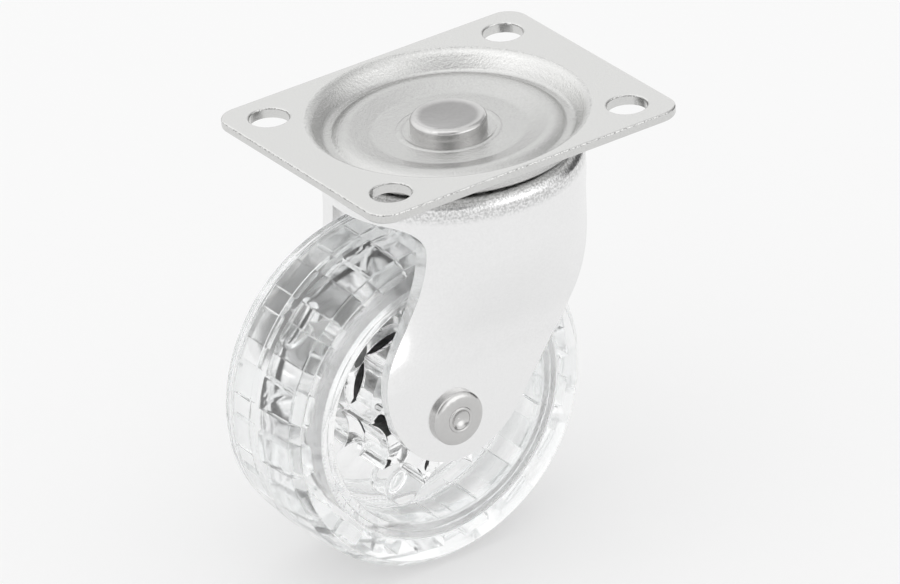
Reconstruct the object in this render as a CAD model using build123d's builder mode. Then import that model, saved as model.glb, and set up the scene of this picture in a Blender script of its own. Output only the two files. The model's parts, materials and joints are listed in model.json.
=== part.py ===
from build123d import *
import os
from math import asin, atan, atan2, cos, degrees, isclose, pi, radians, sin, sqrt, tan

# A swivelling furniture caster with a clear wheel. All sizes are in millimetres.
# The origin is the middle of the plate's top face, on the swivel axis. +Z is up,
# +X runs along the plate's long side, and the wheel trails towards -X.

# Driving sizes of the mounting plate
plate_end_reach = 10.4
plate_side_reach = 3.4
plate_sheet = 2.3
plate_corner = 5.0
plate_edge_round = 0.4
plate_under_round = 0.8
hole_end_margin = 8.75
hole_side_margin = 8.85
hole_diameter = 8.8

# Driving sizes of the dish pressed into the plate
dish_rim_past_crown = 1.2
dish_channel_inset = 1.8
dish_depth = 4.1
dish_crest_drop = 2.8
dish_outer_slope = 35.0
dish_inner_slope = 15.0
dish_rim_round = 3.0
dish_channel_round = 1.2
dish_step_round = 1.0
dish_floor_round = 3.0

# Driving sizes of the swivel's balls and races
ball_diameter = 3.175
upper_ball_ring_inset = 6.6
upper_ball_count = 40
lower_ball_ring_radius = 13.0
lower_ball_count = 22
seat_clearance = 0.02
race_clearance = 0.30
race_slope = 37.0
race_edge_round = 2.8
race_cup_sheet = 2.0
race_cup_hub_drop = 0.6
race_cup_lip_rise = 0.4
race_cup_lip_width = 1.2
race_cup_round = 2.3

# Driving sizes of the kingpin
kingpin_head_diameter = 16.6
kingpin_head_height = 3.3
kingpin_head_dish = 0.9
kingpin_rim_width = 1.1
kingpin_shank_diameter = 8.0
kingpin_shoulder_diameter = 13.0
kingpin_peen_diameter = 12.4
kingpin_peen_height = 2.4
pin_clearance = 0.05

# Driving sizes of the fork
fork_sheet = 2.5
crown_radius = 28.6
crown_top_round = 3.0
crown_gap = 0.8
crown_hole_diameter = 18.0
skirt_height = 6.8
arch_round = 5.0
leg_edge_inset = 8.0
leg_inner_width = 35.0
leg_bend_start = -20.0
leg_bend_end = -49.0
leg_bend_steps = 5
leg_blank_length = 84.0
leg_front_bend = 6.4
leg_front_bend_height = -38.0
leg_front_run = 6.0
leg_corner_radius = 12.0
leg_end_forward = 0.9
leg_end_below_axle = 10.5
leg_end_back = 19.0
leg_rear_slope = 36.4
leg_rear_bend_height = -47.4

# Driving sizes of the axle
trail = 16.5
axle_height = -59.7
axle_diameter = 8.0
axle_head_diameter = 12.4
axle_head_height = 2.0
axle_head_round = 1.1
axle_head_round_width = 2.4
axle_ring_diameter = 6.0
axle_ring_width = 0.8
axle_ring_height = 0.35
axle_dimple_depth = 0.9
spacer_diameter = 11.4

# Driving sizes of the wheel
wheel_diameter = 76.2
tread_drop = 0.7
tread_half_width = 12.1
tyre_side_radius = 35.6
tyre_half_width = 14.3
tyre_edge_round = 0.6
core_radius = 30.4
core_half_width = 14.0
rim_inner_radius = 26.8
web_half_width = 4.5
hub_half_width = 13.6
hub_blank_radius = 20.5
flute_count = 9
flute_radius = 8.0
flute_ring_radius = 22.2
flute_turn = 34.0
boss_diameter = 9.0
boss_height = 1.2
boss_ring_radius = 21.9
boss_count = 3
boss_turn = 257.0
hub_shoulder_radius = 9.2

# Driving sizes of the wheel's two ball bearings
bearing_diameter = 22.0
bearing_width = 7.0
bearing_inner_land = 11.8
bearing_outer_land = 18.4
bearing_ball_diameter = 3.9
bearing_pitch_radius = 7.6
bearing_ball_count = 7
bearing_inner_gap = 0.20
bearing_outer_gap = 0.05
shield_thickness = 0.4
shield_inset = 0.4
shield_clearance = 0.3

# Sizes that follow from the driving ones
plate_length = 2 * (crown_radius + plate_end_reach)
plate_width = 2 * (crown_radius + plate_side_reach)
plate_reach = plate_length + plate_width
hole_spacing_x = plate_length - 2 * hole_end_margin
hole_spacing_y = plate_width - 2 * hole_side_margin
dish_rim_radius = crown_radius + dish_rim_past_crown
dish_channel_radius = crown_radius - dish_channel_inset
upper_ball_ring_radius = crown_radius - upper_ball_ring_inset
hole_radius = hole_diameter / 2
ball_radius = ball_diameter / 2
shank_radius = kingpin_shank_diameter / 2
shoulder_radius = kingpin_shoulder_diameter / 2
head_radius = kingpin_head_diameter / 2
peen_radius = kingpin_peen_diameter / 2
floor_height = -dish_depth
floor_underside = floor_height - plate_sheet
crown_top = floor_underside - crown_gap
crown_underside = crown_top - fork_sheet
skirt_bottom = crown_top - skirt_height
crest_round = ball_radius + seat_clearance + plate_sheet
upper_ball_height = -dish_crest_drop - crest_round
upper_race_round = ball_radius + race_clearance
lower_ball_height = crown_underside - race_clearance - ball_radius
lower_race_round = ball_radius + seat_clearance
cup_hub_height = lower_ball_height - race_cup_hub_drop
cup_lip_height = lower_ball_height + race_cup_lip_rise
cup_hub_underside = cup_hub_height - race_cup_sheet
leg_inside = leg_inner_width / 2
leg_face = leg_inside + fork_sheet
leg_top_half = crown_radius - leg_edge_inset
leg_bottom = axle_height - leg_end_below_axle
leg_end_x = leg_end_forward - trail
axle_radius = axle_diameter / 2
axle_bore_radius = axle_radius + pin_clearance
spacer_radius = spacer_diameter / 2
wheel_radius = wheel_diameter / 2
tread_edge_radius = wheel_radius - tread_drop
bearing_radius = bearing_diameter / 2
bearing_middle = hub_half_width - bearing_width / 2
bearing_inside = hub_half_width - bearing_width
bearing_ball_radius = bearing_ball_diameter / 2
inner_land_radius = bearing_inner_land / 2
outer_land_radius = bearing_outer_land / 2
shield_middle = bearing_width / 2 - shield_inset - shield_thickness / 2
both_sides = (-1, 1)

# The wheel seen from its side, and a half section through the wheel's axis
wheel_side = Plane(origin=(-trail, 0, axle_height), x_dir=(1, 0, 0), z_dir=(0, -1, 0))
wheel_section = Plane(origin=(-trail, 0, axle_height), x_dir=(1, 0, 0), z_dir=(0, 0, 1))
wheel_axis = Axis((-trail, 0, axle_height), (0, 1, 0))


def crest_point():
    """Where the dish's two slopes would meet above the ball ring."""
    reach = crest_round / cos(radians(dish_outer_slope + dish_inner_slope) / 2)
    lean = radians(dish_outer_slope - dish_inner_slope) / 2
    return (
        upper_ball_ring_radius + reach * sin(lean),
        upper_ball_height + reach * cos(lean),
    )


def groove_points(ring_radius, ball_height, groove_round, inner_top, outer_top):
    """The three corners of a V groove whose rounded bottom is centred on a ball."""
    slope = tan(radians(race_slope))
    bottom = ball_height - groove_round / cos(radians(race_slope))
    return (
        (ring_radius - (inner_top - bottom) / slope, inner_top),
        (ring_radius, bottom),
        (ring_radius + (outer_top - bottom) / slope, outer_top),
    )


def leg_bulge(height):
    """How far the leg's middle stands out of its flat face, at one height."""
    share = (leg_bend_start - height) / (leg_bend_start - leg_bend_end)
    return (crown_radius - leg_face) * (1 + cos(pi * share)) / 2


def leg_section(height):
    """The outer arc's radius, its centre's distance in from the leg's flat face and
    the half angle it covers, for one level section through a leg."""
    chord_half = sqrt(crown_radius**2 - leg_face**2)
    bulge = leg_bulge(height)
    arc_radius = (chord_half**2 + bulge**2) / (2 * bulge)
    half_width = leg_top_half + leg_front_bend * sqrt(leg_bulge(leg_bend_start) / bulge)
    return arc_radius, arc_radius - bulge, asin(half_width / arc_radius)


def arc_points(radius, arc_drop, half_turn, side):
    """Both ends and the middle of a leg's level arc, on one side of the fork."""
    return [
        (radius * sin(turn), side * (leg_face + radius * cos(turn) - arc_drop))
        for turn in (-half_turn, 0, half_turn)
    ]


# Mounting plate: a flat sheet with rounded corners, four holes and a pressed dish
crest = crest_point()
step_slope = tan(radians(dish_outer_slope))
floor_slope = tan(radians(dish_inner_slope))
with BuildPart() as top_plate:
    with BuildSketch(Plane.XZ):
        with BuildLine():
            FilletPolyline(
                (plate_reach, 0),
                (dish_rim_radius, 0),
                (dish_channel_radius, floor_height),
                (crest[0] + (crest[1] - floor_height) / step_slope, floor_height),
                crest,
                (crest[0] - (crest[1] - floor_height) / floor_slope, floor_height),
                (shank_radius + pin_clearance, floor_height),
                radius=[dish_rim_round, dish_channel_round, dish_step_round, crest_round, dish_floor_round],
            )
            offset(amount=plate_sheet, kind=Kind.INTERSECTION, side=Side.LEFT)
        make_face()
    revolve(axis=Axis.Z)
    with BuildSketch():
        RectangleRounded(plate_length, plate_width, plate_corner)
        with GridLocations(hole_spacing_x, hole_spacing_y, 2, 2):
            Circle(hole_radius, mode=Mode.SUBTRACT)
    extrude(amount=plate_length, both=True, mode=Mode.INTERSECT)
    plate_top = top_plate.faces().filter_by(Axis.Z).sort_by(Axis.Z)[-1]
    hole_edges = plate_top.edges().filter_by(GeomType.CIRCLE).filter_by(
        lambda edge: isclose(edge.radius, hole_radius) and edge.is_closed
    )
    fillet(plate_top.outer_wire().edges() + hole_edges, plate_edge_round)
    plate_under = top_plate.faces().filter_by(Axis.Z).filter_by(
        lambda face: isclose(face.center().Z, -plate_sheet)
    )[0]
    fillet(plate_under.outer_wire().edges(), plate_under_round)
top_plate.part.label = "top_plate"

# Kingpin: a rivet with a thick dished head, a shoulder and a peened lower end
head_base = floor_height
head_rim = head_base + kingpin_head_height
peen_end = cup_hub_underside - kingpin_peen_height
with BuildPart() as kingpin:
    with BuildSketch(Plane.XZ):
        with BuildLine():
            Line((0, peen_end), (0, head_rim - kingpin_head_dish))
            TangentArc(
                (0, head_rim - kingpin_head_dish),
                (head_radius - kingpin_rim_width, head_rim),
                tangent=(1, 0),
            )
            RadiusArc(
                (head_radius - kingpin_rim_width, head_rim),
                (head_radius, head_rim - kingpin_rim_width),
                kingpin_rim_width,
            )
            Polyline(
                (head_radius, head_rim - kingpin_rim_width),
                (head_radius, head_base),
                (shank_radius, head_base),
                (shank_radius, floor_underside),
                (shoulder_radius, floor_underside),
                (shoulder_radius, cup_hub_height),
                (shank_radius, cup_hub_height),
                (shank_radius, cup_hub_underside),
                (peen_radius, cup_hub_underside),
            )
            TangentArc((0, peen_end), (peen_radius, cup_hub_underside), tangent=(1, 0))
        make_face()
    revolve(axis=Axis.Z)
kingpin.part.label = "kingpin"

# Full rings of loose balls above and below the crown
with BuildPart(Plane.XY.offset(upper_ball_height)) as upper_balls:
    with PolarLocations(upper_ball_ring_radius, upper_ball_count):
        Sphere(ball_radius)
upper_balls.part.label = "upper_balls"

with BuildPart(Plane.XY.offset(lower_ball_height)) as lower_balls:
    with PolarLocations(lower_ball_ring_radius, lower_ball_count):
        Sphere(ball_radius)
lower_balls.part.label = "lower_balls"

# Lower race: a pressed cup that the kingpin holds under the crown
cup_groove = groove_points(
    lower_ball_ring_radius, lower_ball_height, lower_race_round, cup_hub_height, cup_lip_height
)
with BuildPart() as lower_race:
    with BuildSketch(Plane.XZ):
        with BuildLine():
            FilletPolyline(
                (cup_groove[2][0] + race_cup_lip_width, cup_lip_height),
                cup_groove[2],
                cup_groove[1],
                cup_groove[0],
                (shank_radius + pin_clearance, cup_hub_height),
                radius=[race_cup_round, lower_race_round, race_cup_round],
            )
            offset(amount=race_cup_sheet, kind=Kind.INTERSECTION, side=Side.LEFT)
        make_face()
    revolve(axis=Axis.Z)
lower_race.part.label = "lower_race"

# Fork: one pressed sheet, with a round crown and two legs that flatten downwards
crown_groove = groove_points(
    upper_ball_ring_radius, upper_ball_height, upper_race_round, crown_top, crown_top
)
leg_heights = [
    leg_bend_start + (leg_bend_end - leg_bend_start) * step / leg_bend_steps
    for step in range(leg_bend_steps)
]
arch_end = skirt_bottom - arch_round
arch_reach = leg_top_half + arch_round
front_turn = 2 * degrees(atan2(leg_front_bend, arch_end - leg_front_bend_height))
with BuildPart() as fork:
    with BuildSketch(Plane.XZ):
        with BuildLine():
            FilletPolyline(
                (crown_radius, leg_bend_start),
                (crown_radius, crown_top),
                crown_groove[2],
                crown_groove[1],
                crown_groove[0],
                (crown_hole_diameter / 2, crown_top),
                radius=[crown_top_round, race_edge_round, upper_race_round, race_edge_round],
            )
            offset(amount=fork_sheet, kind=Kind.INTERSECTION, side=Side.LEFT)
        make_face()
    revolve(axis=Axis.Z)
    for side in both_sides:
        for height in leg_heights:
            arc_radius, arc_drop, half_turn = leg_section(height)
            with BuildSketch(Plane.XY.offset(height)):
                with BuildLine():
                    for radius in (arc_radius, arc_radius - fork_sheet):
                        ThreePointArc(*arc_points(radius, arc_drop, half_turn, side))
                    for end in (0, -1):
                        Line(
                            arc_points(arc_radius, arc_drop, half_turn, side)[end],
                            arc_points(arc_radius - fork_sheet, arc_drop, half_turn, side)[end],
                        )
                make_face()
        with BuildSketch(Plane.XY.offset(leg_bend_end)):
            with Locations((0, side * (leg_face - fork_sheet / 2))):
                Rectangle(leg_blank_length, fork_sheet)
        loft()
        with BuildSketch(Plane.XY.offset(leg_bend_end)):
            with Locations((0, side * (leg_face - fork_sheet / 2))):
                Rectangle(leg_blank_length, fork_sheet)
        extrude(amount=leg_bottom - leg_bend_end)
    with BuildSketch(Plane.XZ):
        with BuildLine():
            Polyline(
                (plate_length, skirt_bottom),
                (plate_length, 0),
                (-plate_length, 0),
                (-plate_length, skirt_bottom),
                (-arch_reach, skirt_bottom),
            )
            JernArc((-arch_reach, skirt_bottom), (1, 0), arch_round, -90)
            front_bend = TangentArc(
                (-leg_top_half, arch_end),
                (-leg_top_half - leg_front_bend, leg_front_bend_height),
                tangent=(0, -1),
            )
            front_run = PolarLine(front_bend @ 1, leg_front_run, direction=front_bend % 1)
            corner = JernArc(front_run @ 1, front_run % 1, leg_corner_radius, front_turn)
            end_centre = (leg_end_x, (corner @ 1).Y)
            end_depth = (corner @ 1).Y - leg_bottom
            rear_turn = degrees(atan(end_depth / leg_end_back * tan(radians(leg_rear_slope))))
            EllipticalCenterArc(end_centre, leg_end_x - (corner @ 1).X, end_depth, 180, arc_size=90)
            end_curve = EllipticalCenterArc(
                end_centre, leg_end_back, end_depth, 270, arc_size=90 - rear_turn
            )
            rear_run = PolarLine(
                end_curve @ 1,
                (leg_rear_bend_height - (end_curve @ 1).Y) / cos(radians(leg_rear_slope)),
                direction=end_curve % 1,
            )
            TangentArc(rear_run @ 1, (leg_top_half, arch_end), tangent=rear_run % 1)
            JernArc((leg_top_half, arch_end), (0, 1), arch_round, -90)
            Line((arch_reach, skirt_bottom), (plate_length, skirt_bottom))
        make_face()
    extrude(amount=plate_width, both=True, mode=Mode.INTERSECT)
    with BuildSketch(wheel_side):
        Circle(axle_bore_radius)
    extrude(amount=plate_width, both=True, mode=Mode.SUBTRACT)
fork.part.label = "fork"

# Axle: a rivet through both legs with the same dimpled head at each end
head_shoulder = leg_face + axle_head_height - axle_head_round
axle_head_radius = axle_head_diameter / 2
axle_ring_radius = axle_ring_diameter / 2
ring_inside = axle_ring_radius - axle_ring_width
with BuildPart() as axle_rivet:
    with BuildSketch(wheel_section):
        with BuildLine():
            Polyline(
                (axle_radius, 0),
                (axle_radius, leg_face),
                (axle_head_radius, leg_face),
                (axle_head_radius, head_shoulder),
            )
            EllipticalCenterArc(
                (axle_head_radius - axle_head_round_width, head_shoulder),
                axle_head_round_width,
                axle_head_round,
                arc_size=90,
            )
            Line(
                (axle_head_radius - axle_head_round_width, leg_face + axle_head_height),
                (axle_ring_radius, leg_face + axle_head_height),
            )
            ThreePointArc(
                (axle_ring_radius, leg_face + axle_head_height),
                (axle_ring_radius - axle_ring_width / 2, leg_face + axle_head_height + axle_ring_height),
                (ring_inside, leg_face + axle_head_height),
            )
            TangentArc(
                (0, leg_face + axle_head_height - axle_dimple_depth),
                (ring_inside, leg_face + axle_head_height),
                tangent=(1, 0),
            )
            Line((0, leg_face + axle_head_height - axle_dimple_depth), (0, 0))
            mirror(about=Plane.XZ)
        make_face()
    revolve(axis=wheel_axis)
axle_rivet.part.label = "axle_rivet"

# Wheel bearings: an inner and an outer grooved ring, seven balls and two shields each
with BuildPart() as bearing_inner_rings:
    with BuildSketch(wheel_section):
        for side in both_sides:
            with Locations((0, side * bearing_middle)):
                with Locations(((axle_bore_radius + inner_land_radius) / 2, 0)):
                    Rectangle(inner_land_radius - axle_bore_radius, bearing_width)
                with Locations((bearing_pitch_radius, 0)):
                    Circle(bearing_ball_radius + bearing_inner_gap, mode=Mode.SUBTRACT)
    revolve(axis=wheel_axis)
bearing_inner_rings.part.label = "bearing_inner_rings"

with BuildPart() as bearing_outer_rings:
    with BuildSketch(wheel_section):
        for side in both_sides:
            with Locations((0, side * bearing_middle)):
                with Locations(((bearing_radius + outer_land_radius) / 2, 0)):
                    Rectangle(bearing_radius - outer_land_radius, bearing_width)
                with Locations((bearing_pitch_radius, 0)):
                    Circle(bearing_ball_radius + bearing_outer_gap, mode=Mode.SUBTRACT)
    revolve(axis=wheel_axis)
bearing_outer_rings.part.label = "bearing_outer_rings"

with BuildPart(*(wheel_side.offset(side * bearing_middle) for side in both_sides)) as bearing_balls:
    with PolarLocations(bearing_pitch_radius, bearing_ball_count):
        Sphere(bearing_ball_radius)
bearing_balls.part.label = "bearing_balls"

shield_inner = inner_land_radius + shield_clearance
shield_outer = outer_land_radius - seat_clearance
with BuildPart() as bearing_shields:
    with BuildSketch(wheel_section):
        for side in both_sides:
            for end in both_sides:
                across = side * bearing_middle + end * shield_middle
                with Locations(((shield_inner + shield_outer) / 2, across)):
                    Rectangle(shield_outer - shield_inner, shield_thickness)
    revolve(axis=wheel_axis)
bearing_shields.part.label = "bearing_shields"

# Spacers: one between the two inner rings and one from each ring to its leg
with BuildPart() as axle_spacer:
    with BuildSketch(wheel_side):
        Circle(spacer_radius)
        Circle(axle_bore_radius, mode=Mode.SUBTRACT)
    extrude(amount=bearing_inside, both=True)
axle_spacer.part.label = "axle_spacer"

with BuildPart() as end_spacers:
    for side in both_sides:
        with BuildSketch(wheel_side.offset(side * hub_half_width)):
            Circle(spacer_radius)
            Circle(axle_bore_radius, mode=Mode.SUBTRACT)
        extrude(amount=side * (leg_inside - hub_half_width))
end_spacers.part.label = "end_spacers"

# Wheel core: a rim, a thin web with round bosses and a hub with concave flutes
with BuildPart() as wheel_core:
    with BuildSketch(wheel_side):
        Circle(core_radius)
        Circle(rim_inner_radius, mode=Mode.SUBTRACT)
    extrude(amount=core_half_width, both=True)
    with BuildSketch(wheel_side):
        Circle(rim_inner_radius)
    extrude(amount=web_half_width, both=True)
    with BuildSketch(wheel_side):
        with PolarLocations(boss_ring_radius, boss_count, start_angle=boss_turn):
            Circle(boss_diameter / 2)
    extrude(amount=web_half_width + boss_height, both=True)
    with BuildSketch(wheel_side):
        Circle(hub_blank_radius)
        with PolarLocations(flute_ring_radius, flute_count, start_angle=flute_turn):
            Circle(flute_radius, mode=Mode.SUBTRACT)
    extrude(amount=hub_half_width, both=True)
    with BuildSketch(wheel_side):
        Circle(hub_shoulder_radius)
    extrude(amount=hub_half_width, both=True, mode=Mode.SUBTRACT)
    for side in both_sides:
        with BuildSketch(wheel_side.offset(side * bearing_inside)):
            Circle(bearing_radius + seat_clearance)
        extrude(amount=side * bearing_width, mode=Mode.SUBTRACT)
wheel_core.part.label = "wheel_core"

# Tyre: a thick clear band with a crowned tread and sloped shoulders
with BuildPart() as wheel_tyre:
    with BuildSketch(wheel_section) as tyre_section:
        with BuildLine():
            ThreePointArc(
                (tread_edge_radius, -tread_half_width),
                (wheel_radius, 0),
                (tread_edge_radius, tread_half_width),
            )
            Polyline(
                (tread_edge_radius, tread_half_width),
                (tyre_side_radius, tyre_half_width),
                (core_radius, tyre_half_width),
                (core_radius, -tyre_half_width),
                (tyre_side_radius, -tyre_half_width),
                (tread_edge_radius, -tread_half_width),
            )
        make_face()
        fillet(tyre_section.vertices().sort_by(Axis.X)[2:], tyre_edge_round)
    revolve(axis=wheel_axis)
wheel_tyre.part.label = "wheel_tyre"

os.makedirs("parts", exist_ok=True)
for piece in (
    top_plate,
    kingpin,
    upper_balls,
    lower_balls,
    lower_race,
    fork,
    axle_rivet,
    bearing_inner_rings,
    axle_spacer,
    end_spacers,
    wheel_core,
    wheel_tyre,
    bearing_outer_rings,
    bearing_balls,
    bearing_shields,
):
    export_step(piece.part, f"parts/{piece.part.label}.step")
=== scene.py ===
"""Looks of a swivelling furniture caster with a zinc plated fork and a clear wheel."""

import json
import logging
import math
from dataclasses import dataclass, field
from enum import Enum

import bmesh
import bpy
from mathutils import Matrix, Vector

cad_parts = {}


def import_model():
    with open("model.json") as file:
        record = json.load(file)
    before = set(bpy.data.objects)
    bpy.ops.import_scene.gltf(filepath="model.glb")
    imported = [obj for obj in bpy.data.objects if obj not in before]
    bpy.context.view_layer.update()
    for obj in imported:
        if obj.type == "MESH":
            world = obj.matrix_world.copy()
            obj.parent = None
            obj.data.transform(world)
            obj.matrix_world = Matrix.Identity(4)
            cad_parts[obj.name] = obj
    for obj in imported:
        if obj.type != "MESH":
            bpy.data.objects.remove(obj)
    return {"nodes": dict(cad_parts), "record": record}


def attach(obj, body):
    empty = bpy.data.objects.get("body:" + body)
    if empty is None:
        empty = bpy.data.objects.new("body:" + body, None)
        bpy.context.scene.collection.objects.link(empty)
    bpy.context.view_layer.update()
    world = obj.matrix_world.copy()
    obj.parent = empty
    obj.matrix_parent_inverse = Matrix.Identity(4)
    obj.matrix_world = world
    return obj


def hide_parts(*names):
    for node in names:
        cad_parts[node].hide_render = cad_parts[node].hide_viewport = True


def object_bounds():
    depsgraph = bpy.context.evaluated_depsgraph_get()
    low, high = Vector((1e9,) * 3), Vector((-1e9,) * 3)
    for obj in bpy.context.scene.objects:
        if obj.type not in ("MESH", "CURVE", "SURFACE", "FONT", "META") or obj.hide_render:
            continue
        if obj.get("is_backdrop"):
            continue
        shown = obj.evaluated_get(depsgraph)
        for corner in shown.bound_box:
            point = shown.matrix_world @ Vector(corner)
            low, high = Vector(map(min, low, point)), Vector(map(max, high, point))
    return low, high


log = logging.getLogger("caster")

MM = 0.001
RING_FADE = 1.5 * MM
MERGE_DISTANCE = 1e-7
LEAST_GRAIN = 0.15
TONE_DEPTH = 0.16
BUMP_FLOOR = 0.1
DENT_SCALE_SHARE = 0.25
DENT_DETAIL = 2.0
TREE = bpy.types.NodeTree
NODE = bpy.types.Node
SOCKET = bpy.types.NodeSocket
MESH = bpy.types.Mesh
MATERIAL = bpy.types.Material
OBJECT = bpy.types.Object
OUTLINE = list[tuple[float, float]]


class Body(Enum):
    """The bodies that the caster's pieces ride on."""

    PLATE = "plate_body"
    FORK = "fork_body"
    WHEEL = "wheel_body"


class Grain(Enum):
    """How strongly a steel surface shows the speckle of its zinc plating."""

    SMOOTH = 0.0
    FAINT = 0.35
    STRONG = 1.0


def link(source: SOCKET, target: SOCKET) -> None:
    """Joins two sockets of one node tree."""
    source.id_data.links.new(source, target)


def add_node(tree: TREE, kind: str, **values: object) -> NODE:
    """Adds a node and sets its own properties.

    Args:
        tree: the node tree that gets the node.
        kind: the node's type name.
        values: property names with the values they take.

    Returns:
        The new node.
    """
    node = tree.nodes.new(kind)
    for name, value in values.items():
        setattr(node, name, value)
    return node


def fill(node: NODE, values: dict[str, object]) -> None:
    """Sets a node's inputs by their names."""
    for name, value in values.items():
        node.inputs[name].default_value = value


def math_node(operation: str, first: object, second: object) -> SOCKET:
    """Adds a math node to the tree that its inputs come from.

    Args:
        operation: the name of the sum it does.
        first: the first input, a socket or a number.
        second: the second input, a number only where the first is a socket.

    Returns:
        The output socket.
    """
    known = first if isinstance(first, SOCKET) else second
    node = add_node(known.id_data, "ShaderNodeMath", operation=operation)
    for index, value in enumerate((first, second)):
        if isinstance(value, SOCKET):
            link(value, node.inputs[index])
        else:
            node.inputs[index].default_value = value
    return node.outputs[0]


def scaled(value: SOCKET, factor: float, shift: float) -> SOCKET:
    """Multiplies a value by a number and adds another."""
    return math_node("ADD", math_node("MULTIPLY", value, factor), shift)


def soft_step(value: SOCKET, low: float, high: float) -> SOCKET:
    """Adds a smooth step from zero at one value to one at another.

    Args:
        value: the socket that is read.
        low: the value that gives zero.
        high: the value that gives one.

    Returns:
        The output socket.
    """
    node = add_node(value.id_data, "ShaderNodeMapRange", interpolation_type="SMOOTHSTEP")
    sign = 1.0 if high > low else -1.0
    fill(node, {"From Min": low * sign, "From Max": high * sign})
    if sign < 0:
        value = math_node("MULTIPLY", value, -1.0)
    link(value, node.inputs["Value"])
    return node.outputs["Result"]


def grey(tone: float) -> tuple[float, float, float, float]:
    """Makes an opaque grey of one tone."""
    return (tone, tone, tone, 1.0)


def new_material(name: str, inputs: dict[str, object]) -> tuple[MATERIAL, TREE, NODE]:
    """Makes a material with a Principled shader.

    Args:
        name: the material's name.
        inputs: the shader's inputs that get plain values.

    Returns:
        The material, its tree and its shader.
    """
    material = bpy.data.materials.new(name)
    material.use_nodes = True
    tree = material.node_tree
    shader = tree.nodes["Principled BSDF"]
    fill(shader, inputs)
    return material, tree, shader


def add_sockets(tree: TREE, side: str, kinds: dict[str, str]) -> list[object]:
    """Gives a node group sockets on its input or output side.

    Args:
        tree: the group.
        side: INPUT or OUTPUT.
        kinds: the sockets' names with their types.

    Returns:
        The new sockets.
    """
    add = tree.interface.new_socket
    return [add(name, in_out=side, socket_type=kind) for name, kind in kinds.items()]


def new_group(name: str, inputs: dict[str, float], outputs: dict[str, str]) -> TREE:
    """Makes an empty shader node group with named sockets.

    Args:
        name: the group's name.
        inputs: the names of its number inputs with their usual values.
        outputs: the names of its outputs with their socket types.

    Returns:
        The group, with its Group Input and Group Output nodes in it.
    """
    tree = bpy.data.node_groups.new(name, "ShaderNodeTree")
    add_sockets(tree, "INPUT", {"Vector": "NodeSocketVector"})
    for key, value in inputs.items():
        add_sockets(tree, "INPUT", {key: "NodeSocketFloat"})[0].default_value = value
    add_sockets(tree, "OUTPUT", outputs)
    tree.nodes.new("NodeGroupInput")
    tree.nodes.new("NodeGroupOutput")
    return tree


class Effects:
    """The shader node groups that several finishes share."""

    FINE_DETAIL = 3.0
    FINE_ROUGHNESS = 0.65
    CELL_SCALE_SHARE = 0.45
    CELL_HEIGHT = 0.5
    STREAK_STRETCH = (0.12, 1.0, 1.0)
    STREAK_DETAIL = 2.0
    STREAK_SCALE_SHARE = 0.6
    MASK_CONTRAST = 2.6
    WAVE_DETAIL = 1.0

    def __init__(self) -> None:
        """Builds each group once."""
        self.speckle = self._speckle()
        self.wave = self._wave()

    def _speckle(self) -> TREE:
        """Makes fine plating speckle: a grey mask and a height.

        Returns:
            The node group, with the outputs Mask and Height.
        """
        tree = new_group(
            "plating_speckle",
            {"Scale": 2600.0, "Streak": 0.35},
            {"Mask": "NodeSocketFloat", "Height": "NodeSocketFloat"},
        )
        enter = tree.nodes["Group Input"]
        leave = tree.nodes["Group Output"]
        fine = add_node(tree, "ShaderNodeTexNoise", noise_dimensions="3D")
        fill(fine, {"Detail": self.FINE_DETAIL, "Roughness": self.FINE_ROUGHNESS})
        link(enter.outputs["Vector"], fine.inputs["Vector"])
        link(enter.outputs["Scale"], fine.inputs["Scale"])
        cells = add_node(tree, "ShaderNodeTexVoronoi", feature="F1")
        link(enter.outputs["Vector"], cells.inputs["Vector"])
        cell_scale = math_node("MULTIPLY", enter.outputs["Scale"], self.CELL_SCALE_SHARE)
        link(cell_scale, cells.inputs["Scale"])
        stretch = add_node(tree, "ShaderNodeMapping")
        fill(stretch, {"Scale": self.STREAK_STRETCH})
        link(enter.outputs["Vector"], stretch.inputs["Vector"])
        streak = add_node(tree, "ShaderNodeTexNoise", noise_dimensions="3D")
        fill(streak, {"Detail": self.STREAK_DETAIL})
        link(stretch.outputs["Vector"], streak.inputs["Vector"])
        streak_scale = math_node("MULTIPLY", enter.outputs["Scale"], self.STREAK_SCALE_SHARE)
        link(streak_scale, streak.inputs["Scale"])
        grain = math_node("MULTIPLY", cells.outputs["Distance"], self.CELL_HEIGHT)
        grain = math_node("ADD", fine.outputs["Fac"], grain)
        drawn = math_node("MULTIPLY", streak.outputs["Fac"], enter.outputs["Streak"])
        height = math_node("ADD", grain, drawn)
        shift = math_node("SUBTRACT", fine.outputs["Fac"], 0.5)
        mask = scaled(shift, self.MASK_CONTRAST, 0.5)
        link(mask, leave.inputs["Mask"])
        link(height, leave.inputs["Height"])
        return tree

    def _wave(self) -> TREE:
        """Makes the slow waviness of moulded plastic.

        Returns:
            The node group, with the output Wave.
        """
        tree = new_group("mould_wave", {"Scale": 160.0}, {"Wave": "NodeSocketFloat"})
        enter = tree.nodes["Group Input"]
        wave = add_node(tree, "ShaderNodeTexNoise", noise_dimensions="3D")
        fill(wave, {"Detail": self.WAVE_DETAIL})
        link(enter.outputs["Vector"], wave.inputs["Vector"])
        link(enter.outputs["Scale"], wave.inputs["Scale"])
        link(wave.outputs["Fac"], tree.nodes["Group Output"].inputs["Wave"])
        return tree


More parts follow.
